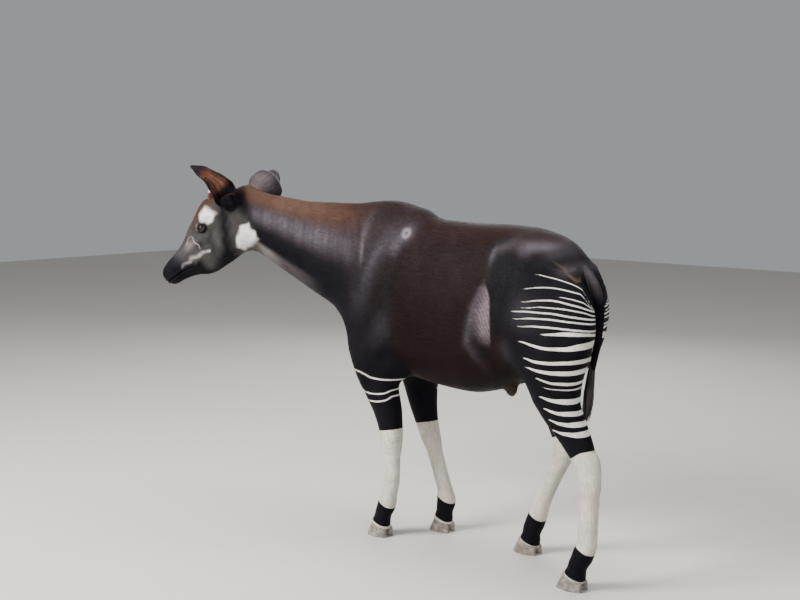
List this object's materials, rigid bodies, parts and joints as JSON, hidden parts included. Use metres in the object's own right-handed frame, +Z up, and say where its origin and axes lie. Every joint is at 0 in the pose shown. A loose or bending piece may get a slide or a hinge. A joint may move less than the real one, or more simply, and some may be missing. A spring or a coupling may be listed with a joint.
{
  "type": "okapi",
  "caption": "Still life-size okapi standing with its head turned to its left, as a museum shows: body, neck, head, ears, horns, legs, hooves and tufted tail.",
  "frame": {"origin": "on the ground, under the middle of the animal's bounding box", "axes": "+Z up; the body lies along X with the rump towards +X and the nose towards -X; the animal's left side and the turn of its head are towards -Y"},
  "size_m": [2.1874, 0.7964, 1.6858],
  "materials": {
    "coat": "short flat velvety hair, dark chocolate with a red cast along the back and neck",
    "face": "very short hair, grey cheeks, red-brown brow, pale patches and a near-black muzzle",
    "ear": "short hair, red-brown with dark rims, bare dark skin deep in the cup",
    "stocking": "short hair, dark above with pale bands, cream below, with a dark band over each hoof",
    "eye": "wet and dark brown",
    "horn": "hair-covered horn core with a bare pale tip",
    "hoof": "grey-brown horn, worn dull near the sole",
    "hair": "long black-brown hair"
  },
  "bodies": {
    "root": {"torso": "coat", "neck": "coat", "head": "face", "ear_left": "ear", "ear_right": "ear", "eye_left": "eye", "eye_right": "eye", "ossicone_left": "horn", "ossicone_right": "horn", "leg_fore_left": "stocking", "leg_fore_right": "stocking", "leg_hind_left": "stocking", "leg_hind_right": "stocking", "hoof_fore_left_outer": "hoof", "hoof_fore_left_inner": "hoof", "hoof_fore_right_outer": "hoof", "hoof_fore_right_inner": "hoof", "hoof_hind_left_outer": "hoof", "hoof_hind_left_inner": "hoof", "hoof_hind_right_outer": "hoof", "hoof_hind_right_inner": "hoof", "tail": "coat", "tail_tuft": "hair"}
  },
  "joints": []
}
